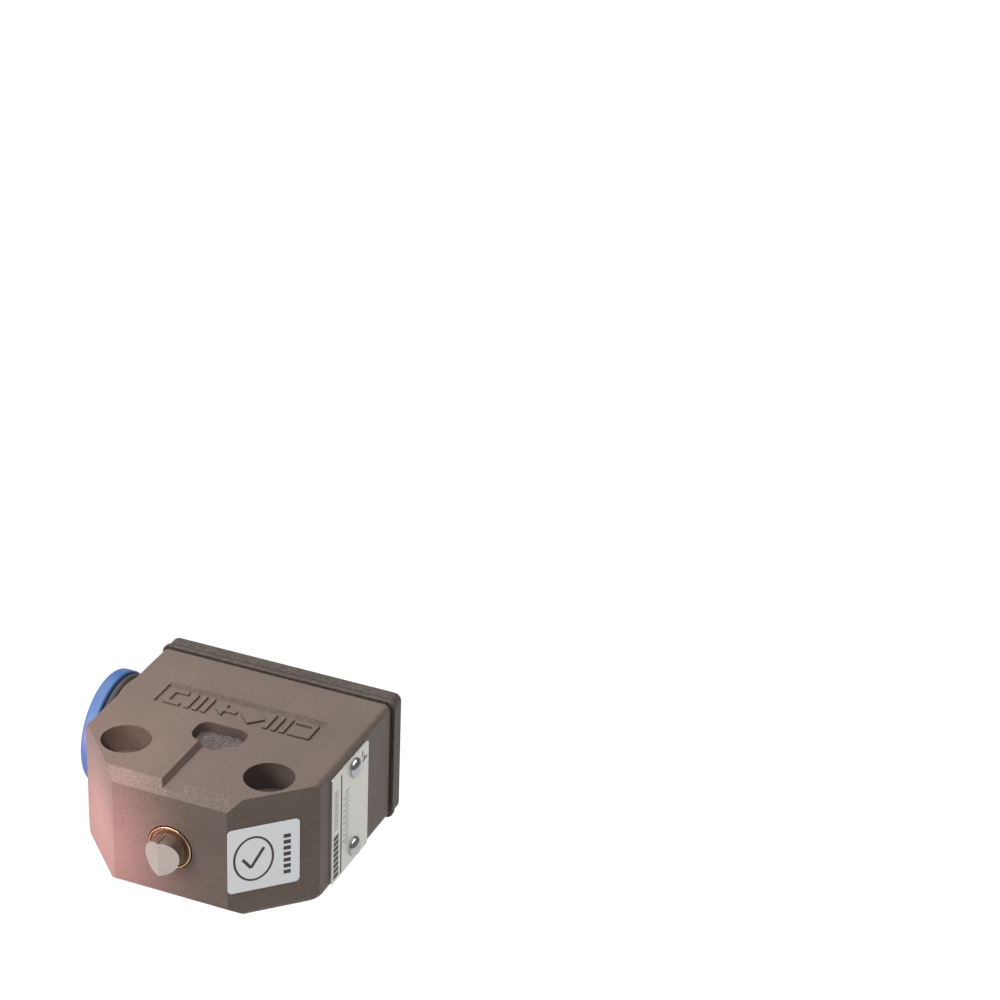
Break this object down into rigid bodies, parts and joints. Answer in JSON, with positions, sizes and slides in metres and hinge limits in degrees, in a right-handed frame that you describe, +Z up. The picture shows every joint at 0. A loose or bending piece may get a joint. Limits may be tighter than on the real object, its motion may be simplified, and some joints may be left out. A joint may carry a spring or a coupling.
{
  "type": "limit switch",
  "caption": "Block-shaped mechanical limit switch with a spring-loaded chisel plunger, counterbored mounting holes, rear cover and a plugged side cable entry.",
  "frame": {"origin": "on the flat mounting face, midway between the two mounting holes", "axes": "+X towards the rating plate, +Y towards the rear cover, away from the plunger, +Z up through the thickness, out of the face with the screw counterbores"},
  "size_m": [0.0648, 0.0604, 0.0303],
  "materials": {
    "coated_casting": "brown satin coating on die-cast aluminium",
    "coated_cover": "mottled cast surface under the brown coating",
    "bronze": "turned, bright rim",
    "rubber_black": "matt",
    "steel": "ground",
    "sintered_grey": "rough pressed powder metal",
    "thermoset_dark": "matt",
    "lid_ivory": "matt",
    "brass": "bright",
    "zinc_bright": "zinc plated",
    "plate_metal": "satin, printed in black",
    "label_film": "printed film",
    "plastic_blue": "smooth moulded"
  },
  "bodies": {
    "block": {"housing": "coated_casting", "guide_bush": "bronze", "scraper_ring": "rubber_black", "spring_seat": "steel", "stem_seal": "rubber_black", "retaining_ring": "steel", "return_spring": "steel", "bush_keeper": "sintered_grey", "element_case": "thermoset_dark", "element_lid": "lid_ivory", "contact_spring": "steel", "cover_gasket": "rubber_black", "cover": "coated_cover", "rating_plate": "plate_metal", "plate_rivet_lower": "zinc_bright", "plate_rivet_upper": "zinc_bright", "inspection_label": "label_film", "earth_washer": "zinc_bright", "earth_screw": "brass", "contact_nc_left": "brass", "clamp_washer_nc_left": "zinc_bright", "terminal_screw_nc_left": "zinc_bright", "contact_nc_right": "brass", "clamp_washer_nc_right": "zinc_bright", "terminal_screw_nc_right": "zinc_bright", "contact_no_left": "brass", "clamp_washer_no_left": "zinc_bright", "terminal_screw_no_left": "zinc_bright", "contact_no_right": "brass", "clamp_washer_no_right": "zinc_bright", "terminal_screw_no_right": "zinc_bright", "element_screw_left": "zinc_bright", "element_screw_right": "zinc_bright", "cover_screw_lower_left": "zinc_bright", "cover_screw_lower_right": "zinc_bright", "cover_screw_upper_left": "zinc_bright", "cover_screw_upper_right": "zinc_bright"},
    "plunger": {"plunger": "steel", "guide_pin": "steel"},
    "tappet": {"tappet": "lid_ivory"},
    "contact_bridge": {"contact_bridge": "brass"},
    "entry_plug": {"entry_plug": "plastic_blue", "entry_seal_ring": "rubber_black"}
  },
  "joints": [
    {"name": "plunger_slide", "type": "slide", "parent": "block", "child": "plunger", "axis": [0, 1, 0], "range_m": [0, 0.0045], "stiffness_N_per_m": 1500, "springref_m": -0.004, "deforming": ["return_spring"]},
    {"name": "tappet_slide", "type": "slide", "parent": "block", "child": "tappet", "axis": [0, 1, 0], "range_m": [0, 0.0045]},
    {"name": "bridge_slide", "type": "slide", "parent": "block", "child": "contact_bridge", "axis": [0, 1, 0], "range_m": [0, 0.0012], "deforming": ["contact_spring"]},
    {"name": "plug_pull", "type": "slide", "parent": "block", "child": "entry_plug", "axis": [-1, 0, 0], "range_m": [0, 0.014]}
  ],
  "couplings": [
    {"joint": "tappet_slide", "follows": "plunger_slide", "ratio": 1},
    {"joint": "bridge_slide", "follows": "plunger_slide", "ratio": 0.26}
  ]
}
